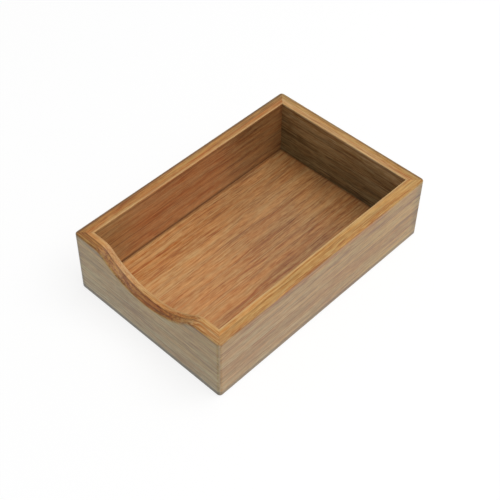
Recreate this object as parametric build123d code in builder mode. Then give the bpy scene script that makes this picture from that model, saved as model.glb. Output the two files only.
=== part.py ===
"""Drawer organizer: an open bamboo tray with a finger scoop in its front wall.

Each wall is a laminated board of two plies, sawn at 45 degrees where it meets its
neighbours. A hidden spline keys every mitre, and the bottom panel sits in a groove
that runs around the inside of the walls. All sizes are in millimetres. The origin
is on the table under the middle of the tray, +X is to the right, +Y to the back
and +Z up.
"""

import os
from dataclasses import dataclass
from math import asin, degrees, sqrt

from build123d import *

os.makedirs("parts", exist_ok=True)

# Overall size of the tray
tray_length = 228.6  # front to back
tray_width = 152.4  # left to right
tray_height = 60.5

# The laminated wall boards
outer_ply = 6.2  # thickness of the ply that faces out
inner_ply = 4.6  # thickness of the ply that faces in
corner_radius = 3.0  # rounding of the upright outer corners
rim_radius = 1.5  # rounding of the rim's outer edge, also along the scoop
rim_ease = 0.6  # rounding of the rim's inner edge
foot_radius = 1.5  # rounding of the outer edge at the table

# The finger scoop in the front wall
scoop_land = 11.0  # level rim left between the scoop and each side wall
scoop_depth = 20.0  # from the rim down to the scoop's lowest point
shoulder_radius = 17.0  # arc that leads from the level rim into the scoop

# The bottom panel and the groove that holds it
panel_thickness = 4.5
panel_recess = 4.5  # from the table up to the panel's underside
panel_tongue = 3.2  # how far the panel reaches into each wall
groove_fit = 0.1  # clearance above and below the panel
groove_play = 0.4  # room beyond the panel's edge, for swelling

# The splines that key the mitres
spline_thickness = 2.4
spline_width = 8.0  # across the joint
spline_cover = 2.5  # wood left between a slot and the inner face of the wall
spline_stop = 8.0  # wood left above and below a blind slot
spline_fit = 0.1  # glue clearance all round
spline_lead = 0.4  # chamfer on the spline's ends

wall = outer_ply + inner_ply
half_width = tray_width / 2
half_length = tray_length / 2

# The scoop is a wide bowl arc with a shoulder arc at each end. Both arcs turn through
# the same angle, so they are tangent to each other and to the level rim.
scoop_half_width = half_width - wall - scoop_land
bowl_radius = (scoop_half_width**2 + scoop_depth**2) / (2 * scoop_depth) - shoulder_radius
scoop_angle = degrees(asin(scoop_half_width / (bowl_radius + shoulder_radius)))

panel_width = tray_width - 2 * (wall - panel_tongue)
panel_length = tray_length - 2 * (wall - panel_tongue)

# A spline crosses its mitre squarely, so its plan stands at 45 degrees to the walls
spline_bottom = panel_recess + panel_thickness + groove_fit + spline_stop
spline_height = tray_height - spline_stop - spline_bottom
spline_inset = wall - spline_cover - (spline_thickness / 2 + spline_fit) / sqrt(2)


@dataclass(frozen=True)
class Side:
    """One side of the tray.

    ``along`` runs from left to right for someone who looks at the side from outside,
    ``outward`` points away from the tray, ``span`` is the side's outer length and
    ``reach`` the distance from the tray's centre to its outer face.
    """

    name: str
    along: Vector
    outward: Vector
    span: float
    reach: float
    scooped: bool = False

    @property
    def plan(self) -> Plane:
        """The table plane, with its x axis along the side."""
        return Plane(origin=(0, 0, 0), x_dir=self.along, z_dir=(0, 0, 1))

    @property
    def elevation(self) -> Plane:
        """The outer face, with its x axis along the side and its y axis up."""
        return Plane(origin=self.outward * self.reach, x_dir=self.along, z_dir=self.outward)

    @property
    def outward_axis(self) -> Axis:
        """The axis through the tray's centre that leaves through this side."""
        return Axis((0, 0, 0), self.outward)


@dataclass(frozen=True)
class Corner:
    """One corner of the tray: its name, and on which side of the origin it lies."""

    name: str
    x_sign: int
    y_sign: int

    @property
    def spline_location(self) -> Location:
        """Where the spline's plan is centred, turned square to the mitre."""
        x = self.x_sign * (half_width - spline_inset)
        y = self.y_sign * (half_length - spline_inset)
        return Location((x, y), -45 * self.x_sign * self.y_sign)


sides = [
    Side("front", Vector(1, 0, 0), Vector(0, -1, 0), tray_width, half_length, scooped=True),
    Side("right", Vector(0, 1, 0), Vector(1, 0, 0), tray_length, half_width),
    Side("back", Vector(-1, 0, 0), Vector(0, 1, 0), tray_width, half_length),
    Side("left", Vector(0, -1, 0), Vector(-1, 0, 0), tray_length, half_width),
]

corners = [
    Corner("front_left", -1, -1),
    Corner("front_right", 1, -1),
    Corner("back_left", -1, 1),
    Corner("back_right", 1, 1),
]


def scooped_outline(span: float) -> Sketch:
    """The front board seen from the front, with the scoop in its upper edge."""
    with BuildSketch() as outline:
        with BuildLine():
            bowl = CenterArc(
                (0, tray_height - scoop_depth + bowl_radius),
                bowl_radius,
                270 - scoop_angle,
                2 * scoop_angle,
            )
            right_shoulder = JernArc(bowl @ 1, bowl % 1, shoulder_radius, -scoop_angle)
            left_shoulder = JernArc(bowl @ 0, -(bowl % 0), shoulder_radius, scoop_angle)
            Polyline(
                right_shoulder @ 1,
                (span / 2, tray_height),
                (span / 2, 0),
                (-span / 2, 0),
                (-span / 2, tray_height),
                left_shoulder @ 1,
            )
        make_face()
    return outline.sketch


def plain_outline(span: float) -> Sketch:
    """A side or back board seen from outside."""
    with BuildSketch() as outline:
        Rectangle(span, tray_height, align=(Align.CENTER, Align.MIN))
    return outline.sketch


def level_edges(face: Face) -> ShapeList[Edge]:
    """A face's edges that aren't upright, the lowest first."""
    return face.edges().filter_by(Axis.Z, reverse=True).sort_by(Axis.Z)


def sawn_ply(side: Side, depth: float, thickness: float) -> Part:
    """One ply of a wall, from ``depth`` behind the outer face, with its joints cut."""
    with BuildPart() as ply:
        # The ply's outline, sawn from the sheet
        with BuildSketch(side.elevation.offset(-depth)):
            add(scooped_outline(side.span) if side.scooped else plain_outline(side.span))
        extrude(amount=-thickness)

        # Mitred ends, and the tray's rounded upright corners
        with BuildSketch(side.plan):
            RectangleRounded(side.span, 2 * side.reach, corner_radius)
            Polygon(
                (-side.span / 2, -side.reach),
                (side.span / 2, -side.reach),
                (side.span / 2 - wall, wall - side.reach),
                (wall - side.span / 2, wall - side.reach),
                align=None,
                mode=Mode.INTERSECT,
            )
        extrude(amount=2 * tray_height, mode=Mode.INTERSECT)

        # Groove for the bottom panel
        with BuildSketch(Plane.XY.offset(panel_recess - groove_fit)):
            Rectangle(panel_width + 2 * groove_play, panel_length + 2 * groove_play)
        extrude(amount=panel_thickness + 2 * groove_fit, mode=Mode.SUBTRACT)

        # Blind slots for the splines
        with BuildSketch(Plane.XY.offset(spline_bottom - spline_fit)):
            with Locations(*[corner.spline_location for corner in corners]):
                Rectangle(spline_width + 2 * spline_fit, spline_thickness + 2 * spline_fit)
        extrude(amount=spline_height + 2 * spline_fit, mode=Mode.SUBTRACT)
    return ply.part


# The four walls, each of an outer and an inner ply
for side in sides:
    with BuildPart() as outer_wall_ply:
        add(sawn_ply(side, 0, outer_ply))
        foot_edge = level_edges(outer_wall_ply.faces().sort_by(side.outward_axis)[-1])[0]
        fillet(foot_edge, foot_radius)
        rim_edges = level_edges(outer_wall_ply.faces().sort_by(side.outward_axis)[-1])[1:]
        fillet(rim_edges, rim_radius)
    outer_wall_ply.part.label = f"{side.name}_wall_outer_ply"
    export_step(outer_wall_ply.part, f"parts/{side.name}_wall_outer_ply.step")

    with BuildPart() as inner_wall_ply:
        add(sawn_ply(side, outer_ply, inner_ply))
        inner_face = inner_wall_ply.faces().group_by(side.outward_axis)[0].sort_by(Axis.Z)[-1]
        fillet(level_edges(inner_face)[1:], rim_ease)
    inner_wall_ply.part.label = f"{side.name}_wall_inner_ply"
    export_step(inner_wall_ply.part, f"parts/{side.name}_wall_inner_ply.step")

# The bottom panel
with BuildPart() as bottom_panel:
    with BuildSketch(Plane.XY.offset(panel_recess)):
        Rectangle(panel_width, panel_length)
    extrude(amount=panel_thickness)
bottom_panel.part.label = "bottom_panel"
export_step(bottom_panel.part, "parts/bottom_panel.step")

# The splines
for corner in corners:
    with BuildPart() as mitre_spline:
        with BuildSketch(Plane.XY.offset(spline_bottom)):
            with Locations(corner.spline_location):
                Rectangle(spline_width, spline_thickness)
        extrude(amount=spline_height)
        chamfer(mitre_spline.edges().filter_by(Axis.Z, reverse=True), spline_lead)
    mitre_spline.part.label = f"{corner.name}_spline"
    export_step(mitre_spline.part, f"parts/{corner.name}_spline.step")
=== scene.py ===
"""Looks of a bamboo drawer organizer, an open tray with a finger scoop in its front wall.

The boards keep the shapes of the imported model. Each one is dressed in a bamboo that is
worked out in depth, from the strips the board is glued up from down to the fibre bundles,
so that a cut along the grain shows streaks and a cut across it shows dots.

Lengths are in metres. The origin is on the table under the middle of the tray, +X is to
the right, +Y to the back and +Z up.
"""

from __future__ import annotations

import logging
import math
from abc import ABC, abstractmethod
from dataclasses import dataclass
from enum import Enum
from typing import ClassVar, Sequence, Union

import bpy
import numpy as np
from mathutils import Matrix, Vector


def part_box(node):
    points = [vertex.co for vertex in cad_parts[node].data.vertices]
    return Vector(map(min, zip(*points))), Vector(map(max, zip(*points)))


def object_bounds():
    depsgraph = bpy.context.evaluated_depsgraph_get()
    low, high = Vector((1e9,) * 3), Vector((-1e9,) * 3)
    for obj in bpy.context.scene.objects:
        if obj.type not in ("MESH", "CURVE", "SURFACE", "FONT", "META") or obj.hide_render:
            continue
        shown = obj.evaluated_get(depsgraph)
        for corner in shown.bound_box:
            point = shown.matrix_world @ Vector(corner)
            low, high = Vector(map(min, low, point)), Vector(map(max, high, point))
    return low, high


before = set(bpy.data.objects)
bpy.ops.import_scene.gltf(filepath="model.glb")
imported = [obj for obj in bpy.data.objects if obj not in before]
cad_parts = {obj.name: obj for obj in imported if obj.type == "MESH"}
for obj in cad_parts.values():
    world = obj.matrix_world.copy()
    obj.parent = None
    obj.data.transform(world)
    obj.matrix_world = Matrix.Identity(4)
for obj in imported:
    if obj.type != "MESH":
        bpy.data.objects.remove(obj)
cad_low, cad_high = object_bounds()

log = logging.getLogger("drawer_organizer")

Socket = bpy.types.NodeSocket
Sockets = dict[str, Socket]
Source = Union[Socket, float, Sequence[float]]
Pair = tuple[float, float]
Triple = tuple[float, float, float]
Colour = Triple

MM = 0.001
WHITE: Colour = (1.0, 1.0, 1.0)

# Half the tray's outer width and half its outer length
TRAY_HALF: Pair = ((cad_high.x - cad_low.x) / 2, (cad_high.y - cad_low.y) / 2)


# Nodes


class SocketKind(Enum):
    """The kinds of socket that a node group has."""

    VALUE = "NodeSocketFloat"
    VECTOR = "NodeSocketVector"
    COLOUR = "NodeSocketColor"


def values(*names: str) -> dict[str, SocketKind]:
    """Sockets that carry plain numbers, by name."""
    return dict.fromkeys(names, SocketKind.VALUE)


class Graph:
    """A node tree with short calls that add nodes and join them."""

    # Where a mix node keeps its factor and its two colours, and their mixture
    mix_inputs: ClassVar[tuple[int, int, int]] = (0, 6, 7)
    mix_output: ClassVar[int] = 2

    def __init__(self, tree: bpy.types.NodeTree) -> None:
        """Starts on the tree that the calls add to."""
        self.tree = tree

    @classmethod
    def of(cls, owner: bpy.types.Material | bpy.types.World) -> Graph:
        """Starts on a new material or world, without the nodes it comes with."""
        owner.use_nodes = True
        owner.node_tree.nodes.clear()
        return cls(owner.node_tree)

    def feed(self, socket: Socket, source: Source) -> None:
        """Joins a socket to an output, or gives it a constant.

        Args:
            socket: The input to feed.
            source: An output socket, a number, or a vector or colour.
        """
        if isinstance(source, bpy.types.NodeSocket):
            self.tree.links.new(source, socket)
        elif socket.type == "RGBA" and len(source) == 3:
            socket.default_value = (*source, 1.0)
        else:
            socket.default_value = source

    def node(
        self, kind: str, feeds: dict[str, Source] | None = None, **settings: object
    ) -> bpy.types.Node:
        """Adds a node.

        Args:
            kind: The node's type name.
            feeds: What goes into its inputs, by input name.
            settings: The node's own properties.

        Returns:
            The new node.
        """
        node = self.tree.nodes.new(kind)
        for name, value in settings.items():
            setattr(node, name, value)
        for name, source in (feeds or {}).items():
            self.feed(node.inputs[name], source)
        return node

    def math(self, operation: str, *sources: Source, clamp: bool = False) -> Socket:
        """Works out a number.

        Args:
            operation: The name of the sum, such as MULTIPLY.
            sources: Its terms, in order.
            clamp: Keeps the result between 0 and 1.

        Returns:
            The result's socket.
        """
        node = self.node("ShaderNodeMath", operation=operation, use_clamp=clamp)
        for socket, source in zip(node.inputs, sources):
            self.feed(socket, source)
        return node.outputs[0]

    def vector(self, operation: str, *sources: Source) -> Socket:
        """Works out a vector.

        Args:
            operation: The name of the sum, such as ADD.
            sources: Its terms, in order.

        Returns:
            The result's socket.
        """
        node = self.node("ShaderNodeVectorMath", operation=operation)
        for socket, source in zip(node.inputs, sources):
            self.feed(socket, source)
        return node.outputs["Vector"]

    def split(self, vector: Source) -> tuple[Socket, Socket, Socket]:
        """Takes a vector apart, into the sockets of its three parts."""
        parts = self.node("ShaderNodeSeparateXYZ", {"Vector": vector}).outputs
        return parts[0], parts[1], parts[2]

    def join(self, x: Source, y: Source, z: Source) -> Socket:
        """Puts a vector together from its three parts."""
        return self.node("ShaderNodeCombineXYZ", {"X": x, "Y": y, "Z": z}).outputs[0]

    def fade(
        self, value: Source, start: Source, end: Source, low: Source = 0.0, high: Source = 1.0
    ) -> Socket:
        """Turns a value smoothly from one level to another.

        Args:
            value: What the result depends on.
            start: The value at which the result is still ``low``.
            end: The value from which the result is ``high``.
            low: The level before ``start``.
            high: The level after ``end``.

        Returns:
            The result's socket.
        """
        feeds = {"Value": value, "From Min": start, "From Max": end, "To Min": low, "To Max": high}
        node = self.node("ShaderNodeMapRange", feeds, interpolation_type="SMOOTHSTEP")
        return node.outputs["Result"]

    def band(self, value: Source, half_width: Source, soft: float = 0.6) -> Socket:
        """Marks where a value is near zero, fading over a share of the half width."""
        inner = self.math("MULTIPLY", half_width, 1.0 - soft)
        return self.fade(self.math("ABSOLUTE", value), half_width, inner)

    def mix(self, factor: Source, first: Source, second: Source, blend: str = "MIX") -> Socket:
        """Mixes two colours.

        Args:
            factor: The share of the second colour.
            first: The colour at 0.
            second: The colour at 1.
            blend: The way of mixing.

        Returns:
            The colour's socket.
        """
        node = self.node("ShaderNodeMix", data_type="RGBA", blend_type=blend, clamp_factor=True)
        for index, source in zip(self.mix_inputs, (factor, first, second)):
            self.feed(node.inputs[index], source)
        return node.outputs[self.mix_output]

    def noise(self, place: Source, detail: float, roughness: float = 0.5) -> bpy.types.Node:
        """Adds a noise with features one unit across and as many finer layers as told."""
        feeds = {"Vector": place, "Scale": 1.0, "Detail": detail, "Roughness": roughness}
        return self.node("ShaderNodeTexNoise", feeds)


# Effects that several finishes share


class Effect(ABC):
    """A node group that several finishes share. It is built once."""

    name: ClassVar[str]
    inputs: ClassVar[dict[str, SocketKind]]
    outputs: ClassVar[dict[str, SocketKind]]

    @abstractmethod
    def build(self, graph: Graph, given: Sockets) -> Sockets:
        """Builds the inside of the group.

        Args:
            graph: The group's tree.
            given: The group's inputs, by name.

        Returns:
            What goes to the group's outputs, by name.
        """

    def tree(self) -> bpy.types.NodeTree:
        """Finds the group's tree, or makes it on the first call.

        Returns:
            The tree.
        """
        tree = bpy.data.node_groups.get(self.name)
        if tree is not None:
            return tree
        tree = bpy.data.node_groups.new(self.name, "ShaderNodeTree")
        for way, sockets in (("INPUT", self.inputs), ("OUTPUT", self.outputs)):
            for name, kind in sockets.items():
                tree.interface.new_socket(name, in_out=way, socket_type=kind.value)
        graph = Graph(tree)
        entry = graph.node("NodeGroupInput")
        results = self.build(graph, {name: entry.outputs[name] for name in self.inputs})
        graph.node("NodeGroupOutput", results)
        return tree

    def place(self, graph: Graph, feeds: dict[str, Source]) -> Sockets:
        """Puts the group into a material.

        Args:
            graph: The material's tree.
            feeds: What goes into the group's inputs, by name.

        Returns:
            The group's outputs, by name.
        """
        node = graph.node("ShaderNodeGroup", node_tree=self.tree())
        for name, source in feeds.items():
            graph.feed(node.inputs[name], source)
        return {name: node.outputs[name] for name in self.outputs}


@dataclass(frozen=True)
class Feature:
    """One feature of the grain, a noise that is longer along the grain than across it.

    ``size`` is in millimetres: along the grain, across the strips and into the board.
    ``levels`` are the levels of the noise at which the feature's mask is 0 and 1.
    """

    size: Triple
    detail: float = 1.0
    roughness: float = 0.5
    levels: Pair = (0.25, 0.75)

    def stretched(self, graph: Graph, place: Socket) -> Socket:
        """A place in millimetres, divided part by part by the feature's size."""
        return graph.vector("DIVIDE", place, self.size)

    def noise(self, graph: Graph, place: Socket) -> bpy.types.Node:
        """The feature's noise at a place in millimetres."""
        return graph.noise(self.stretched(graph, place), self.detail, self.roughness)

    def mask(self, graph: Graph, level: Socket) -> Socket:
        """The level of the noise as a mask from 0 to 1."""
        return graph.fade(level, *self.levels)


class BambooGrain(Effect):
    """The make-up of a board of bamboo strips, as masks in depth.

    A board's place is a vector: along the grain, across the strips and into the board.
    """

    name = "bamboo_grain"
    inputs = {"Place": SocketKind.VECTOR, **values("Strip Width", "Strip Start", "Seed")}
    outputs = values(
        "Strip",
        "Cloud",
        "Streak",
        "Fine",
        "Thread",
        "Fleck",
        "Line",
        "Bundle",
        "Seam",
        "Knuckle",
        "Warmth",
    )

    features: ClassVar[dict[str, Feature]] = {
        "Cloud": Feature((95.0, 9.0, 4.0)),
        "Streak": Feature((80.0, 1.8, 1.2), detail=2.0, roughness=0.6, levels=(0.32, 0.68)),
        "Fine": Feature((12.0, 0.75, 0.55), detail=2.0, roughness=0.7),
        "Thread": Feature((26.0, 0.3, 0.25), roughness=0.6, levels=(0.3, 0.7)),
        "Fleck": Feature((6.5, 1.5, 1.3), levels=(0.3, 0.7)),
        "Warmth": Feature((28.0, 4.5, 3.5), detail=2.0, levels=(0.3, 0.7)),
    }
    bundle: ClassVar[Feature] = Feature((16.0, 1.35, 1.0), levels=(0.34, 0.2))

    # How far the fibres wander from end to end of the noise's range, in millimetres
    wander: ClassVar[Feature] = Feature((55.0, 18.0, 18.0))
    wander_reach: ClassVar[Triple] = (0.0, 3.2, 3.2)

    # The dark lines, as levels of their own noise, and the cloud levels that end them
    line: ClassVar[Feature] = Feature((110.0, 3.4, 2.2))
    line_half: ClassVar[float] = 0.06
    line_soft: ClassVar[float] = 0.8
    line_breaks: ClassVar[Pair] = (0.62, 0.4)

    # Sizes in millimetres: the seams, the stretch over which the knuckles lie and their edge
    seam_half: ClassVar[float] = 0.5
    knuckle_half: ClassVar[float] = 2.6
    knuckle_stretch: ClassVar[float] = 210.0
    knuckle_edge: ClassVar[float] = 6.0

    # How far apart in the culm the strips are taken, and how far apart seeds number them
    culm: ClassVar[Triple] = (500.0, 90.0, 90.0)
    seed_step: ClassVar[float] = 31.7

    def build(self, graph: Graph, given: Sockets) -> Sockets:
        """Builds the masks.

        Args:
            graph: The group's tree.
            given: The board's place, its strips and its seed.

        Returns:
            The masks, by name.
        """
        place = graph.vector("DIVIDE", given["Place"], (MM, MM, MM))
        along, _, _ = graph.split(place)

        # Which strip, and how far across it
        start = graph.math("SUBTRACT", graph.split(given["Place"])[1], given["Strip Start"])
        steps = graph.math("DIVIDE", start, given["Strip Width"])
        index = graph.math("FLOOR", steps)
        share = graph.math("SUBTRACT", steps, index)
        seeded = graph.math("MULTIPLY_ADD", given["Seed"], self.seed_step, index)
        chance = graph.node("ShaderNodeTexWhiteNoise", {"W": seeded}, noise_dimensions="1D")
        width = graph.math("DIVIDE", given["Strip Width"], MM)
        to_seam = graph.math("MULTIPLY", graph.math("PINGPONG", share, 0.5), width)

        # Every strip comes from another part of the culm, and its fibres wander a little
        shifted = graph.vector("MULTIPLY_ADD", chance.outputs["Color"], self.culm, place)
        wander = self.wander.noise(graph, shifted).outputs["Color"]
        centred = graph.vector("SUBTRACT", wander, (0.5, 0.5, 0.5))
        wandering = graph.vector("MULTIPLY_ADD", centred, self.wander_reach, shifted)

        levels: Sockets = {}
        masks: Sockets = {}
        for name, feature in self.features.items():
            levels[name] = feature.noise(graph, wandering).outputs[0]
            masks[name] = feature.mask(graph, levels[name])
        bundles = {"Vector": self.bundle.stretched(graph, wandering), "Scale": 1.0}
        cells = graph.node("ShaderNodeTexVoronoi", bundles)

        # Long dark lines where a slow noise passes its middle, broken up by the clouds
        slow = graph.math("SUBTRACT", self.line.noise(graph, wandering).outputs[0], 0.5)
        line = graph.band(slow, self.line_half, self.line_soft)
        line = graph.math("MULTIPLY", line, graph.fade(levels["Cloud"], *self.line_breaks))

        # One faint knuckle a strip, anywhere along the tray, with a ragged edge
        stretch, edge = self.knuckle_stretch, self.knuckle_edge
        spot = graph.math("MULTIPLY_ADD", chance.outputs["Value"], stretch, -stretch / 2)
        ragged = graph.math("MULTIPLY_ADD", levels["Streak"], edge, -edge / 2)
        from_knuckle = graph.math("ADD", graph.math("SUBTRACT", along, spot), ragged)
        return {
            **masks,
            "Strip": graph.split(chance.outputs["Color"])[1],
            "Line": line,
            "Bundle": self.bundle.mask(graph, cells.outputs["Distance"]),
            "Seam": graph.band(to_seam, self.seam_half),
            "Knuckle": graph.band(from_knuckle, self.knuckle_half, soft=1.0),
        }


class BambooColour(Effect):
    """The colour, gloss and relief of bamboo under a satin lacquer.

    All its colours follow from the middle one: raised to a power below 1 it is the pale
    flesh, and to powers above 1 the deep flesh and the dark fibre.
    """

    name = "bamboo_colour"
    inputs = {
        **BambooGrain.outputs,
        "Middle": SocketKind.COLOUR,
        **values("Tone", "Contrast", "Seam Depth"),
    }
    outputs = {"Colour": SocketKind.COLOUR, **values("Roughness", "Height")}

    pale_power: ClassVar[float] = 0.68
    deep_power: ClassVar[float] = 1.42
    fibre_power: ClassVar[float] = 2.1

    # How far each mask turns the tone from deep to pale
    weights: ClassVar[dict[str, float]] = {
        "Cloud": 0.26,
        "Streak": 0.38,
        "Fine": 0.34,
        "Thread": 0.3,
        "Fleck": 0.26,
        "Strip": 0.08,
    }

    # How dark the marks are, a bundle's own share running from pale to deep streaks
    bundle_levels: ClassVar[Pair] = (0.7, 0.2)
    bundle_shares: ClassVar[Pair] = (0.16, 0.5)
    line_share: ClassVar[float] = 0.55
    knuckle_share: ClassVar[float] = 0.08

    # The colours of yellower and of redder bamboo, as parts of the plain one
    cool: ClassVar[Colour] = (0.95, 1.02, 1.09)
    warm: ClassVar[Colour] = (1.05, 0.98, 0.91)

    # What the masks add to the roughness of the flesh, and to the relief of the streaks
    flesh_roughness: ClassVar[float] = 0.4
    dullness: ClassVar[dict[str, float]] = {"Streak": 0.08, "Bundle": 0.06}
    lift: ClassVar[dict[str, float]] = {
        "Fine": 0.5,
        "Thread": 0.3,
        "Bundle": -0.4,
        "Line": -0.4,
        "Seam": -0.6,
        "Knuckle": 0.5,
    }

    def build(self, graph: Graph, given: Sockets) -> Sockets:
        """Builds the colour, the roughness and the height.

        Args:
            graph: The group's tree.
            given: The masks of the grain, the middle colour and how the grain shows.

        Returns:
            The three results, by name.
        """
        powers = (self.pale_power, self.deep_power, self.fibre_power)
        pale, deep, fibre = (
            graph.node("ShaderNodeGamma", {"Color": given["Middle"], "Gamma": power}).outputs[0]
            for power in powers
        )
        tone = given["Tone"]
        for name, weight in self.weights.items():
            centred = graph.math("SUBTRACT", given[name], 0.5)
            centred = graph.math("MULTIPLY", centred, given["Contrast"])
            tone = graph.math("MULTIPLY_ADD", centred, weight, tone)
        colour = graph.mix(tone, deep, pale)

        # Dark lines and fibre bundles, thinner where the flesh is pale
        shares = {
            "Bundle": graph.fade(given["Streak"], *self.bundle_levels, *self.bundle_shares),
            "Line": self.line_share,
            "Seam": given["Seam Depth"],
            "Knuckle": self.knuckle_share,
        }
        for name, share in shares.items():
            mark = graph.math("MULTIPLY", given[name], share)
            mark = graph.math("MULTIPLY", mark, given["Contrast"])
            colour = graph.mix(mark, colour, fibre)

        hue = graph.mix(given["Warmth"], self.cool, self.warm)
        colour = graph.mix(1.0, colour, hue, "MULTIPLY")

        roughness: Source = self.flesh_roughness
        for name, rise in self.dullness.items():
            roughness = graph.math("MULTIPLY_ADD", given[name], rise, roughness)
        height = given["Streak"]
        for name, lift in self.lift.items():
            height = graph.math("MULTIPLY_ADD", given[name], lift, height)
        return {"Colour": colour, "Roughness": roughness, "Height": height}


class BoardJoints(Effect):
    """Where a wall board is joined to its neighbours, and how its surfaces lie.

    Depth is counted from the wall's outer face. The glue line between the plies lies
    ``Ply`` deep, the inner face ``Wall`` deep, and a mitre runs where the depth equals
    the distance to the board's end.
    """

    name = "board_joints"
    inputs = {
        "Place": SocketKind.VECTOR,
        "Facing": SocketKind.VECTOR,
        **values("Half Span", "Reach", "Ply", "Wall", "Rim"),
    }
    outputs = values("Face", "Glue", "Mitre", "Brink", "Arris", "Foot", "Gap", "Lip", "Corner")

    # The dark fibres at the glue line lie just outside it
    glue_offset: ClassVar[float] = 0.7 * MM
    glue_half: ClassVar[float] = 1.0 * MM
    glue_soft: ClassVar[float] = 0.8

    # A mitre shows fully on a sawn edge and only partly on a face
    mitre_half: ClassVar[float] = 0.25 * MM
    mitre_on_face: ClassVar[float] = 0.3

    # Where the painted edge shade, the painted arris highlight and the painted shade lines fade
    # in: depths from a face, and heights
    brink: ClassVar[Pair] = (3.8 * MM, 1.8 * MM)
    arris: ClassVar[Pair] = (2.2 * MM, 1.0 * MM)
    foot: ClassVar[Pair] = (6.2 * MM, 3.5 * MM)
    gap: ClassVar[Pair] = (12.6 * MM, 9.8 * MM)

    # The painted shade line along the top of a face, just below the rim
    lip_drop: ClassVar[float] = 2.4 * MM
    lip_half: ClassVar[float] = 1.6 * MM
    lip_soft: ClassVar[float] = 0.9

    # Squares of the normal's part upwards on a face, and sideways around a corner
    face_levels: ClassVar[Pair] = (0.55, 0.2)
    corner_levels: ClassVar[Pair] = (0.08, 0.45)

    def build(self, graph: Graph, given: Sockets) -> Sockets:
        """Builds the masks.

        Args:
            graph: The group's tree.
            given: The place, the normal on the board's axes and the wall's sizes.

        Returns:
            The masks, by name.
        """
        along, height, through = graph.split(given["Place"])
        depth = graph.math("SUBTRACT", given["Reach"], graph.math("ABSOLUTE", through))
        from_end = graph.math("SUBTRACT", given["Half Span"], graph.math("ABSOLUTE", along))
        from_mitre = graph.math("SUBTRACT", depth, from_end)
        from_mitre = graph.math("MULTIPLY", from_mitre, math.sqrt(0.5))
        from_glue = graph.math("SUBTRACT", depth, given["Ply"])
        from_glue = graph.math("ADD", from_glue, self.glue_offset)
        from_inside = graph.math("SUBTRACT", given["Wall"], depth)
        from_lip = graph.math("SUBTRACT", height, given["Rim"])
        from_lip = graph.math("ADD", from_lip, self.lip_drop)

        # A face stands upright, also around the corners, and a sawn edge looks up or down
        sideways, upward, _ = graph.split(given["Facing"])
        face = graph.fade(graph.math("MULTIPLY", upward, upward), *self.face_levels)
        around = graph.fade(graph.math("MULTIPLY", sideways, sideways), *self.corner_levels)
        edge = graph.math("SUBTRACT", 1.0, face)
        on_edge = 1.0 - self.mitre_on_face
        shown = graph.math("MULTIPLY_ADD", edge, on_edge, self.mitre_on_face)
        glue = graph.band(from_glue, self.glue_half, self.glue_soft)
        lip = graph.band(from_lip, self.lip_half, self.lip_soft)
        # Brink, Foot, Gap and Lip mark where shade is painted, and Arris and Corner where
        # highlights are painted
        return {
            "Face": face,
            "Glue": graph.math("MULTIPLY", glue, edge),
            "Mitre": graph.math("MULTIPLY", graph.band(from_mitre, self.mitre_half), shown),
            "Brink": graph.math("MULTIPLY", graph.fade(depth, *self.brink), edge),
            "Arris": graph.math("MULTIPLY", graph.fade(from_inside, *self.arris), edge),
            "Foot": graph.fade(height, *self.foot),
            "Gap": graph.math("MULTIPLY", graph.fade(height, *self.gap), face),
            "Lip": graph.math("MULTIPLY", lip, face),
            "Corner": graph.math("MULTIPLY", around, face),
        }


# Finishes

# Lengths and strengths that most boards share
STRIP_WIDTH = 15.3 * MM
STRIP_START = 0.3 * MM
SEAM_DEPTH = 0.25

# The colours of the marks: dark glue, also used for painted shade lines, painted edge shade, a
# painted arris highlight and a painted corner highlight
GLUE_AND_SHADE: Colour = (0.13, 0.045, 0.008)
EDGE_SHADE: Colour = (0.075, 0.055, 0.03)
ARRIS_HIGHLIGHT: Colour = (0.64, 0.43, 0.19)
CORNER_HIGHLIGHT: Colour = (0.66, 0.56, 0.42)


class Grain(Enum):
    """Which way a board lies: its axes along the grain, across its strips and through it."""

    FRONT_AND_BACK = (0, 2, 1)
    LEFT_AND_RIGHT = (1, 2, 0)
    PANEL = (1, 0, 2)


@dataclass(frozen=True)
class Drift:
    """A slow change of a board's colour along one of its axes. Some of them paint shade and light
    onto the board.

    ``axis`` is 0 along the grain and 1 across it. Up to ``start`` the colour is
    multiplied by ``first``, and from ``end`` by ``last``.
    """

    axis: int
    start: float
    end: float
    first: Colour
    last: Colour = WHITE

    def over(self, graph: Graph, place: Socket, colour: Source) -> Socket:
        """Lays the change over a colour, at a place on the board's own axes."""
        share = graph.fade(graph.split(place)[self.axis], self.start, self.end)
        return graph.mix(1.0, colour, graph.mix(share, self.first, self.last), "MULTIPLY")


@dataclass(frozen=True)
class Bamboo:
    """The bamboo that shows on one kind of surface.

    ``contrast`` says how strongly its grain stands out, 1 being plain bamboo.
    """

    middle: Colour
    drifts: tuple[Drift, ...] = ()
    contrast: float = 1.0

    def colour(self, graph: Graph, place: Socket) -> Source:
        """The middle colour at a place on the board's own axes."""
        colour: Source = self.middle
        for drift in self.drifts:
            colour = drift.over(graph, place, colour)
        return colour


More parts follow.
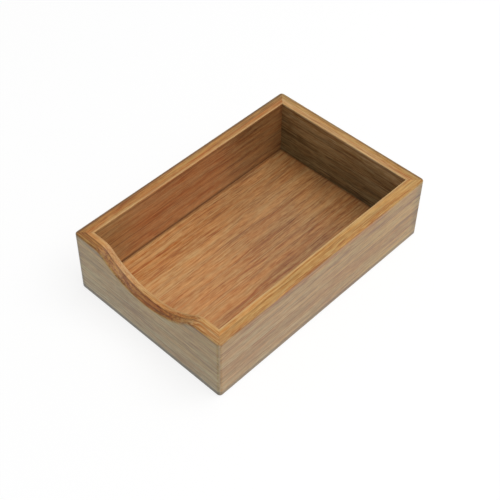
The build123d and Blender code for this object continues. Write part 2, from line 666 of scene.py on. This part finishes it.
@dataclass(frozen=True)
class BambooFinish:
    """One board's bamboo.

    ``tones`` are the strips' tones from the first to the last, from 0, deep, to 1, pale.
    ``seam`` says how dark the seams between them are. ``relief`` is the depth of the
    grain, and ``lacquer`` the weight of the clear coat on the faces.
    """

    name: str
    grain: Grain
    seed: float
    tones: tuple[float, ...]
    face: Bamboo
    strip_width: float = STRIP_WIDTH
    strip_start: float = STRIP_START
    seam: float = SEAM_DEPTH
    relief: float = 0.05 * MM
    lacquer: float = 0.65
    lacquer_roughness: float = 0.35
    ior: float = 1.35

    def turned(self, graph: Graph, vector: Socket) -> Socket:
        """A vector on the tray's axes, turned to the board's own."""
        parts = graph.split(vector)
        return graph.join(*(parts[axis] for axis in self.grain.value))

    def tone(self, graph: Graph, place: Socket) -> Socket:
        """The tone of each strip, as steps across the board.

        Args:
            graph: The material's tree.
            place: The place on the board's own axes.

        Returns:
            The tone's socket.
        """
        share = graph.math("SUBTRACT", graph.split(place)[1], self.strip_start)
        share = graph.math("DIVIDE", share, self.strip_width * len(self.tones), clamp=True)
        ramp = graph.node("ShaderNodeValToRGB", {"Fac": share})
        ramp.color_ramp.interpolation = "CONSTANT"
        stops = ramp.color_ramp.elements
        stops.remove(stops[1])
        for number, tone in enumerate(self.tones):
            stop = stops[0] if number == 0 else stops.new(number / len(self.tones))
            stop.color = (tone, tone, tone, 1.0)
        return ramp.outputs["Color"]

    def middle(self, graph: Graph, place: Socket, joints: Sockets) -> Source:
        """The board's middle colour. A plain board is the same bamboo on every surface."""
        return self.face.colour(graph, place)

    def contrast(self, graph: Graph, joints: Sockets) -> Source:
        """How strongly the grain stands out. On a plain board it is the same all over."""
        return self.face.contrast

    def coat(self, graph: Graph, joints: Sockets) -> Source:
        """The weight of the clear coat. On a plain board it is the same all over."""
        return self.lacquer

    def joints(self, graph: Graph, place: Socket, facing: Socket) -> Sockets:
        """The masks of the board's joints and edges. A plain board has none."""
        return {}

    def worn(self, graph: Graph, looks: Sockets, joints: Sockets) -> Sockets:
        """The looks with the joints and the wear laid over them. A plain board has none."""
        return looks

    def material(self) -> bpy.types.Material:
        """Builds the finish.

        Returns:
            A material that reads Object coordinates.
        """
        material = bpy.data.materials.new(self.name)
        graph = Graph.of(material)
        where = graph.node("ShaderNodeTexCoord").outputs
        place = self.turned(graph, where["Object"])
        joints = self.joints(graph, place, self.turned(graph, where["Normal"]))
        strips = {
            "Place": place,
            "Strip Width": self.strip_width,
            "Strip Start": self.strip_start,
            "Seed": self.seed,
        }
        bare = {
            **BambooGrain().place(graph, strips),
            "Middle": self.middle(graph, place, joints),
            "Tone": self.tone(graph, place),
            "Contrast": self.contrast(graph, joints),
            "Seam Depth": self.seam,
        }
        looks = self.worn(graph, BambooColour().place(graph, bare), joints)
        bump = graph.node("ShaderNodeBump", {"Height": looks["Height"], "Distance": self.relief})
        surface = {
            "Base Color": looks["Colour"],
            "Roughness": looks["Roughness"],
            "Normal": bump.outputs[0],
            "IOR": self.ior,
            "Coat Weight": self.coat(graph, joints),
            "Coat Roughness": self.lacquer_roughness,
        }
        shader = graph.node("ShaderNodeBsdfPrincipled", surface)
        graph.node("ShaderNodeOutputMaterial", {"Surface": shader.outputs[0]})
        return material


@dataclass(frozen=True)
class Marks:
    """How strong the marks on a ply are, from 0, none, to 1.

    Attributes:
        glue: The dark fibres at the glue line.
        mitre: The glue in the mitres.
        brink: Painted shade on the outer brink of the rim.
        foot: Painted shade along the table.
        gap: A painted shade line above the bottom panel.
        lip: A painted shade line below the rim.
        corner: A painted highlight on the upright corners.
        arris: A painted highlight on the inner arris of the rim.
    """

    glue: float = 0.0
    mitre: float = 0.25
    brink: float = 0.0
    foot: float = 0.0
    gap: float = 0.0
    lip: float = 0.0
    corner: float = 0.0
    arris: float = 0.0


@dataclass(frozen=True, kw_only=True)
class WallFinish(BambooFinish):
    """The bamboo of one ply of a wall, with its sawn edges, joints, painted shade and painted
    highlights.

    Attributes:
        cut: The bamboo of the sawn edges.
        half_span: Half the wall's outer length.
        reach: From the tray's middle to the wall's outer face.
        ply: The outer ply's thickness.
        wall: The whole wall's thickness.
        rim: The rim's height.
        marks: The marks on the ply.
        mitre_sink: How much lower the mitre lies, in parts of the relief.
        glue_sink: How much lower the glue line lies.
        arris_polish: How much smoother the inner arris is.
    """

    cut: Bamboo
    half_span: float
    reach: float
    ply: float
    wall: float
    rim: float
    marks: Marks
    mitre_sink: float = 0.6
    glue_sink: float = 0.3
    arris_polish: float = 0.05

    def middle(self, graph: Graph, place: Socket, joints: Sockets) -> Source:
        """The ply's middle colour, which differs between its face and its sawn edges."""
        cut = self.cut.colour(graph, place)
        return graph.mix(joints["Face"], cut, self.face.colour(graph, place))

    def contrast(self, graph: Graph, joints: Sockets) -> Source:
        """How strongly the grain stands out, from the sawn edges to the face."""
        on_cut = self.cut.contrast
        return graph.math("MULTIPLY_ADD", joints["Face"], self.face.contrast - on_cut, on_cut)

    def coat(self, graph: Graph, joints: Sockets) -> Source:
        """The weight of the lacquer, which stays on the face and sinks into sawn edges."""
        return graph.math("MULTIPLY", joints["Face"], self.lacquer)

    def joints(self, graph: Graph, place: Socket, facing: Socket) -> Sockets:
        """The masks of the ply's joints and edges.

        Args:
            graph: The material's tree.
            place: The place on the board's own axes.
            facing: The surface's normal on the same axes.

        Returns:
            The masks by name.
        """
        feeds = {
            "Place": place,
            "Facing": facing,
            "Half Span": self.half_span,
            "Reach": self.reach,
            "Ply": self.ply,
            "Wall": self.wall,
            "Rim": self.rim,
        }
        return BoardJoints().place(graph, feeds)

    def worn(self, graph: Graph, looks: Sockets, joints: Sockets) -> Sockets:
        """Lays the joints, the painted shade and the painted highlights over the looks.

        Args:
            graph: The material's tree.
            looks: The colour, roughness and height of the bare bamboo.
            joints: The ply's masks.

        Returns:
            The looks with the marks.
        """
        colour, roughness, height = looks["Colour"], looks["Roughness"], looks["Height"]
        laid = (
            ("Glue", self.marks.glue, GLUE_AND_SHADE),
            ("Mitre", self.marks.mitre, GLUE_AND_SHADE),
            # Painted shade on the outer brink and along the foot
            ("Brink", self.marks.brink, EDGE_SHADE),
            ("Foot", self.marks.foot, EDGE_SHADE),
            # Painted shade lines above the bottom panel and below the rim, in the glue's colour
            ("Gap", self.marks.gap, GLUE_AND_SHADE),
            ("Lip", self.marks.lip, GLUE_AND_SHADE),
            # Painted highlight on the upright corners
            ("Corner", self.marks.corner, CORNER_HIGHLIGHT),
            # Painted highlight on the inner arris
            ("Arris", self.marks.arris, ARRIS_HIGHLIGHT),
        )
        for name, strength, tint in laid:
            if strength > 0.0:
                colour = graph.mix(graph.math("MULTIPLY", joints[name], strength), colour, tint)
        height = graph.math("MULTIPLY_ADD", joints["Mitre"], -self.mitre_sink, height)
        height = graph.math("MULTIPLY_ADD", joints["Glue"], -self.glue_sink, height)
        roughness = graph.math("MULTIPLY_ADD", joints["Arris"], -self.arris_polish, roughness)
        return {"Colour": colour, "Roughness": roughness, "Height": height}


@dataclass(frozen=True, kw_only=True)
class PanelFinish(BambooFinish):
    """The bamboo of the bottom panel, with a painted shade line where it goes into the walls.

    ``opening`` is half the clear space between the walls, along the grain and across it,
    ``border`` the distances from the walls between which the line fades in, and ``gap``
    its strength.
    """

    opening: Pair
    border: Pair = (2.2 * MM, 0.6 * MM)
    gap: float = 0.55

    def joints(self, graph: Graph, place: Socket, facing: Socket) -> Sockets:
        """The mask of the painted shade line around the panel.

        Args:
            graph: The material's tree.
            place: The place on the board's own axes.
            facing: The surface's normal on the same axes. It is not used.

        Returns:
            The mask by name.
        """
        parts = graph.split(place)
        to_walls = [
            graph.math("SUBTRACT", half, graph.math("ABSOLUTE", part))
            for half, part in zip(self.opening, parts)
        ]
        return {"Gap": graph.fade(graph.math("MINIMUM", *to_walls), *self.border)}

    def worn(self, graph: Graph, looks: Sockets, joints: Sockets) -> Sockets:
        """Lays the painted shade line over the looks."""
        # Painted shade where the panel goes into the walls
        line = graph.math("MULTIPLY", joints["Gap"], self.gap)
        return {**looks, "Colour": graph.mix(line, looks["Colour"], GLUE_AND_SHADE)}


# The tray


def dress(node: str, material: bpy.types.Material) -> None:
    """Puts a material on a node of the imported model.

    Args:
        node: The node's name.
        material: The material for all its slots.
    """
    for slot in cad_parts[node].material_slots:
        slot.material = material
    log.info("%s: dressed in %s", node, material.name)


@dataclass(frozen=True)
class Layer:
    """One ply of a wall as it looks.

    ``face`` is the bamboo of its flat face and ``cut`` that of its sawn edges. ``tones``
    are its strips' tones from the table up, and ``seam`` is how dark their seams are.
    """

    face: Bamboo
    cut: Bamboo
    tones: tuple[float, ...]
    strip_width: float = STRIP_WIDTH
    seam: float = SEAM_DEPTH
    marks: Marks = Marks()


@dataclass(frozen=True)
class Wall:
    """One wall, glued up from an outer and an inner ply.

    ``seed`` says which bamboo the outer ply is cut from, and the inner ply is cut
    ``seed_step`` further on.
    """

    side: str
    grain: Grain
    seed: float
    outer: Layer
    inner: Layer
    seed_step: float = 0.5

    def finish(self, name: str, layer: Layer, seed: float) -> WallFinish:
        """The finish of one ply.

        Args:
            name: ``outer`` or ``inner``.
            layer: How the ply looks.
            seed: Which bamboo the ply is cut from.

        Returns:
            The finish, with the wall's own sizes.
        """
        along, _, through = self.grain.value
        outer_low, outer_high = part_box(f"{self.side}_wall_outer_ply")
        inner_low, inner_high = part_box(f"{self.side}_wall_inner_ply")
        ply = outer_high[through] - outer_low[through]
        return WallFinish(
            name=f"{self.side}_{name}_bamboo",
            grain=self.grain,
            seed=seed,
            half_span=TRAY_HALF[along],
            reach=TRAY_HALF[through],
            ply=ply,
            wall=ply + inner_high[through] - inner_low[through],
            rim=cad_high.z,
            **vars(layer),
        )

    def dress(self) -> None:
        """Dresses both plies."""
        outer = self.finish("outer", self.outer, self.seed)
        inner = self.finish("inner", self.inner, self.seed + self.seed_step)
        dress(f"{self.side}_wall_outer_ply", outer.material())
        dress(f"{self.side}_wall_inner_ply", inner.material())


@dataclass(frozen=True)
class BottomPanel:
    """The board in the bottom of the tray, with its strips' tones from left to right."""

    seed: float = 11.0
    tones: tuple[float, ...] = (0.6, 0.5, 0.57, 0.44, 0.5, 0.42, 0.52, 0.46)
    # Painted light and shade: lighter at the front and darker towards the back
    face: Bamboo = Bamboo(
        (0.463, 0.208, 0.051),
        (Drift(0, -70 * MM, 60 * MM, (1.12, 1.1, 1.08), (0.75, 0.69, 0.65)),),
        contrast=0.95,
    )
    lacquer: float = 0.45

    def dress(self) -> None:
        """Dresses the panel, whose opening ends at the inner faces of the walls."""
        low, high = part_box("bottom_panel")
        left_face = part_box("left_wall_inner_ply")[1].x
        front_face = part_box("front_wall_inner_ply")[1].y
        finish = PanelFinish(
            "panel_bamboo",
            Grain.PANEL,
            self.seed,
            self.tones,
            self.face,
            strip_width=(high.x - low.x) / len(self.tones),
            strip_start=low.x,
            lacquer=self.lacquer,
            opening=(-front_face, -left_face),
        )
        dress("bottom_panel", finish.material())


@dataclass(frozen=True)
class MitreSplines:
    """The hidden keys in the four corners, of raw pale bamboo."""

    corners: tuple[str, ...] = ("front_left", "front_right", "back_left", "back_right")
    seed: float = 23.0
    tones: tuple[float, ...] = (0.5,)
    face: Bamboo = Bamboo((0.56, 0.35, 0.15))

    def dress(self) -> None:
        """Dresses the splines, which have no lacquer."""
        finish = BambooFinish(
            "spline_bamboo", Grain.PANEL, self.seed, self.tones, self.face, lacquer=0.0
        )
        material = finish.material()
        for corner in self.corners:
            dress(f"{corner}_spline", material)


# The studio


def added(name: str, data: bpy.types.ID) -> bpy.types.Object:
    """Adds an object to the scene."""
    thing = bpy.data.objects.new(name, data)
    bpy.context.scene.collection.objects.link(thing)
    return thing


def direction(azimuth: float, elevation: float) -> Vector:
    """The direction in which a lamp or the camera stands, seen from the tray.

    Args:
        azimuth: Degrees from the tray's front, turning to its right.
        elevation: Degrees above the table.

    Returns:
        A vector of length 1 that points away from the tray.
    """
    turn, rise = math.radians(azimuth), math.radians(elevation)
    level = math.cos(rise)
    return Vector((math.sin(turn) * level, -math.cos(turn) * level, math.sin(rise)))


def by_ray(graph: Graph, brought: Socket, seen: Socket) -> Socket:
    """Makes the floor or the surroundings look one way and light the tray another way.

    Args:
        graph: Their tree.
        brought: The shader for rays that only bring light.
        seen: The shader for camera, mirror and glass rays.

    Returns:
        Their shader.
    """
    path = graph.node("ShaderNodeLightPath").outputs
    mirror = graph.math("MAXIMUM", path["Is Glossy Ray"], path["Is Transmission Ray"])
    factor = graph.math("MAXIMUM", path["Is Camera Ray"], mirror)
    both = graph.node("ShaderNodeMixShader", {"Fac": factor})
    graph.feed(both.inputs[1], brought)
    graph.feed(both.inputs[2], seen)
    return both.outputs[0]


@dataclass(frozen=True)
class SoftBox:
    """A square soft lamp that points at the tray.

    ``level`` is the light it gives a surface that faces it, 1 being the level at which a
    colour renders as it is written.
    """

    name: str
    azimuth: float
    elevation: float
    distance: float
    size: float
    level: float

    def place(self) -> None:
        """Builds the lamp. Its power is the level times the square of pi times its distance."""
        away = direction(self.azimuth, self.elevation)
        data = bpy.data.lights.new(self.name, "AREA")
        data.shape = "SQUARE"
        data.size = self.size
        data.energy = self.level * (math.pi * self.distance) ** 2
        facing = away.to_track_quat("Z", "Y")
        lamp = added(self.name, data)
        lamp.matrix_world = Matrix.LocRotScale(away * self.distance, facing, None)


@dataclass(frozen=True)
class Studio:
    """A white floor and surroundings, and the soft lamps.

    Attributes:
        lamps: The lamps.
        sky: The even light that the surroundings bring.
        floor_half: Half the floor's side.
        floor_cells: The number of its faces along a side.
        floor_drop: How far it lies below the tray's foot.
        floor_bounce: How much of the light it sends back to the tray.
        floor_shadow: The share of its white that a shadow can take away.
        floor_white: How bright it looks.
        floor_fade: The distances between which it stops taking shadows.
        tooth: The number of the paper's grains to a metre.
        tooth_levels: The noise levels of its dark and light grains.
        tooth_shades: The shades of these grains.
    """

    lamps: tuple[SoftBox, ...]
    sky: float = 0.35
    floor_half: float = 3.0
    floor_cells: int = 8
    floor_drop: float = 0.1 * MM
    floor_bounce: float = 0.5
    floor_shadow: float = 0.2
    floor_white: float = 1.02
    floor_fade: Pair = (0.4, 1.4)
    tooth: float = 900.0
    tooth_levels: Pair = (0.3, 0.7)
    tooth_shades: Pair = (0.97, 1.0)

    def surroundings(self) -> None:
        """White to the eye, and a dimmer even light on the tray."""
        world = bpy.data.worlds.new("studio")
        graph = Graph.of(world)
        white = graph.node("ShaderNodeBackground", {"Color": WHITE, "Strength": 1.0})
        fill = graph.node("ShaderNodeBackground", {"Color": WHITE, "Strength": self.sky})
        both = by_ray(graph, fill.outputs[0], white.outputs[0])
        graph.node("ShaderNodeOutputWorld", {"Surface": both})
        bpy.context.scene.world = world

    def paper(self) -> bpy.types.Material:
        """Builds the floor's white paper.

        To the eye it is white with the tray's shadow on it, and further out it is even
        white. To the tray it is plain paper that sends back some light.

        Returns:
            The material.
        """
        material = bpy.data.materials.new("white_paper")
        graph = Graph.of(material)
        place = graph.node("ShaderNodeTexCoord").outputs["Object"]
        away = graph.node("ShaderNodeVectorMath", {"Vector": place}, operation="LENGTH")
        share = graph.fade(away.outputs["Value"], *self.floor_fade, self.floor_shadow, 0.0)
        grains = graph.vector("MULTIPLY", place, (self.tooth, self.tooth, self.tooth))
        tooth = graph.noise(grains, detail=2.0).outputs[0]
        pulp = graph.fade(tooth, *self.tooth_levels, *self.tooth_shades)
        shade = graph.math("MULTIPLY", pulp, share)
        lit = graph.node("ShaderNodeBsdfDiffuse", {"Color": shade})
        glow = graph.math("SUBTRACT", self.floor_white, share)
        own = graph.node("ShaderNodeEmission", {"Color": WHITE, "Strength": glow})
        white = graph.node("ShaderNodeAddShader")
        graph.feed(white.inputs[0], lit.outputs[0])
        graph.feed(white.inputs[1], own.outputs[0])
        plain = graph.node("ShaderNodeBsdfDiffuse", {"Color": (self.floor_bounce,) * 3})
        both = by_ray(graph, plain.outputs[0], white.outputs[0])
        graph.node("ShaderNodeOutputMaterial", {"Surface": both})
        return material

    def floor(self) -> None:
        """Builds the floor.

        It is a square grid of points at one height, and each face joins a point to its
        neighbours on the right, beyond that one and behind.
        """
        row = self.floor_cells + 1
        side = np.linspace(-self.floor_half, self.floor_half, row)
        x, y = np.meshgrid(side, side)
        points = np.stack([x, y, np.full_like(x, -self.floor_drop)], axis=-1).reshape(-1, 3)
        steps = np.arange(self.floor_cells)
        corner = (steps[:, None] * row + steps).ravel()
        faces = np.stack([corner, corner + 1, corner + row + 1, corner + row], axis=-1)
        mesh = bpy.data.meshes.new("floor")
        mesh.from_pydata(points.tolist(), [], faces.tolist())
        mesh.materials.append(self.paper())
        floor = added("floor", mesh)

    def build(self) -> None:
        """Builds the surroundings, the floor and the lamps."""
        self.surroundings()
        self.floor()
        for lamp in self.lamps:
            lamp.place()
        bpy.context.scene.view_settings.view_transform = "Standard"
        log.info("studio: %d lamps", len(self.lamps))


@dataclass(frozen=True)
class Viewpoint:
    """The camera.

    Azimuth 0 looks along +Y and turns to the tray's right. The offsets say how far the
    middle of the picture lies to the right of the origin and above it, across the view.
    ``reach`` is the focal length in picture widths, and ``clip`` the nearest and the
    furthest distance that shows.
    """

    azimuth: float = 43.0111
    elevation: float = 47.6278
    roll: float = 0.95654
    offset_right: float = -2.21778 * MM
    offset_up: float = 6.63691 * MM
    distance: float = 882.745 * MM
    reach: float = 2.195596
    sensor: float = 36.0
    clip: Pair = (0.01, 50.0)

    def build(self) -> None:
        """Builds the camera and makes it the scene's own."""
        turn, roll = math.radians(self.azimuth), math.radians(self.roll)
        back = direction(self.azimuth, self.elevation)
        level = Vector((math.cos(turn), math.sin(turn), 0.0))
        upright = back.cross(level)
        right = math.cos(roll) * level + math.sin(roll) * upright
        up = math.cos(roll) * upright - math.sin(roll) * level
        place = self.offset_right * right + self.offset_up * up + self.distance * back
        data = bpy.data.cameras.new("photo_camera")
        data.sensor_width = self.sensor
        data.lens = self.reach * self.sensor
        data.clip_start, data.clip_end = self.clip
        turned = Matrix((right, up, back)).transposed().to_4x4()
        camera = added("photo_camera", data)
        camera.matrix_world = Matrix.Translation(place) @ turned
        bpy.context.scene.camera = camera


# The four walls as they look


FRONT = Wall(
    "front",
    Grain.FRONT_AND_BACK,
    seed=1.0,
    outer=Layer(
        face=Bamboo(
            (0.464, 0.298, 0.08),
            (
                # Painted shade at the left upright corner
                Drift(0, -74 * MM, -70 * MM, (0.55, 0.56, 0.6)),
                Drift(1, 6 * MM, 26 * MM, (1.13, 1.27, 1.9)),
                Drift(1, 36 * MM, 50 * MM, WHITE, (0.91, 0.81, 0.6)),
            ),
            contrast=1.4,
        ),
        cut=Bamboo(
            (0.43, 0.2, 0.035),
            (
                Drift(0, -50 * MM, -4 * MM, (1.27, 1.54, 1.65)),
                Drift(0, -12 * MM, 0.0, WHITE, (0.94, 0.8, 0.86)),
                Drift(0, 8 * MM, 16 * MM, WHITE, (1.21, 1.5, 1.22)),
                Drift(0, 25 * MM, 52 * MM, (0.57, 0.38, 0.31), (1.07, 1.18, 2.4)),
            ),
            contrast=1.3,
        ),
        tones=(0.45, 0.5, 0.52, 0.5),
        marks=Marks(glue=0.45, brink=0.1, foot=0.86, corner=0.28),
    ),
    inner=Layer(
        face=Bamboo((0.42, 0.19, 0.04)),
        cut=Bamboo(
            (0.5, 0.225, 0.054),
            (
                Drift(0, 12 * MM, 32 * MM, WHITE, (0.87, 0.77, 0.63)),
                Drift(0, 36 * MM, 56 * MM, WHITE, (1.22, 1.48, 1.85)),
            ),
        ),
        tones=(0.5, 0.55, 0.55, 0.5),
        marks=Marks(arris=0.4, lip=0.25),
    ),
)
RIGHT = Wall(
    "right",
    Grain.LEFT_AND_RIGHT,
    seed=2.0,
    outer=Layer(
        face=Bamboo(
            (0.485, 0.265, 0.062),
            (
                Drift(0, -70 * MM, 70 * MM, (1.03, 1.06, 1.35), (0.99, 0.94, 0.76)),
                Drift(0, 102 * MM, 110 * MM, WHITE, (0.68, 0.69, 0.67)),
                Drift(1, 53 * MM, 59 * MM, WHITE, (1.1, 1.0, 0.75)),
            ),
            contrast=1.15,
        ),
        cut=Bamboo(
            (0.468, 0.225, 0.048),
            (Drift(0, -110 * MM, -78 * MM, (0.96, 0.88, 0.92)),),
        ),
        tones=(0.68, 0.28, 0.59, 0.59),
        seam=0.45,
        marks=Marks(glue=0.2, foot=0.5, corner=0.28),
    ),
    inner=Layer(
        face=Bamboo((0.42, 0.19, 0.04)),
        cut=Bamboo(
            (0.5, 0.245, 0.053),
            (Drift(0, -80 * MM, -20 * MM, (1.13, 1.14, 1.3)),),
        ),
        tones=(0.5, 0.5, 0.55, 0.5),
        marks=Marks(arris=0.58, lip=0.25),
    ),
)
BACK = Wall(
    "back",
    Grain.FRONT_AND_BACK,
    seed=3.0,
    outer=Layer(
        face=Bamboo((0.46, 0.26, 0.07), contrast=1.1),
        cut=Bamboo((0.455, 0.242, 0.06)),
        tones=(0.55, 0.42, 0.56, 0.5),
        marks=Marks(glue=0.05, brink=0.4, foot=0.5, corner=0.28),
    ),
    inner=Layer(
        # Painted shade: this face is darker than the others, darker still towards the bottom and
        # lighter just under the rim
        face=Bamboo(
            (0.25, 0.166, 0.065),
            (
                Drift(1, 20 * MM, 48 * MM, (0.78, 0.84, 0.78), (1.14, 1.14, 1.1)),
                Drift(1, 48 * MM, 56 * MM, WHITE, (1.62, 1.72, 2.05)),
            ),
            contrast=1.3,
        ),
        cut=Bamboo((0.505, 0.27, 0.088)),
        tones=(0.45, 0.45, 0.47, 0.5),
        marks=Marks(arris=0.4, lip=0.6),
    ),
)
LEFT = Wall(
    "left",
    Grain.LEFT_AND_RIGHT,
    seed=4.0,
    outer=Layer(
        face=Bamboo((0.46, 0.26, 0.07), contrast=1.1),
        cut=Bamboo(
            (0.4, 0.162, 0.028),
            (Drift(0, 36 * MM, 62 * MM, WHITE, (0.76, 0.78, 0.82)),),
        ),
        tones=(0.56, 0.38, 0.5, 0.56),
        marks=Marks(glue=0.05, brink=0.55, foot=0.5, corner=0.28),
    ),
    inner=Layer(
        # Its redder colour is painted reflected light, and the darkening towards the back is
        # painted shade
        face=Bamboo(
            (0.5, 0.206, 0.058),
            (
                Drift(0, -95 * MM, -50 * MM, (0.84, 1.02, 1.04)),
                Drift(0, 18 * MM, 62 * MM, WHITE, (0.61, 0.61, 0.54)),
            ),
            contrast=0.88,
        ),
        cut=Bamboo(
            (0.475, 0.198, 0.038),
            (Drift(0, 60 * MM, 95 * MM, WHITE, (1.07, 1.16, 1.3)),),
        ),
        tones=(0.58, 0.47),
        strip_width=30.3 * MM,
        seam=0.75,
        marks=Marks(arris=0.4, gap=0.8, lip=0.35),
    ),
)

KEY_LAMP = SoftBox("key_lamp", azimuth=120.0, elevation=68.0, distance=2.2, size=1.8, level=0.76)


def main() -> None:
    """Dresses the tray's boards and builds the studio and the camera."""
    logging.basicConfig(level=logging.INFO, format="%(name)s: %(message)s")
    for wall in (FRONT, RIGHT, BACK, LEFT):
        wall.dress()
    BottomPanel().dress()
    MitreSplines().dress()
    Studio((KEY_LAMP,)).build()
    Viewpoint().build()


if __name__ == "__main__":
    main()
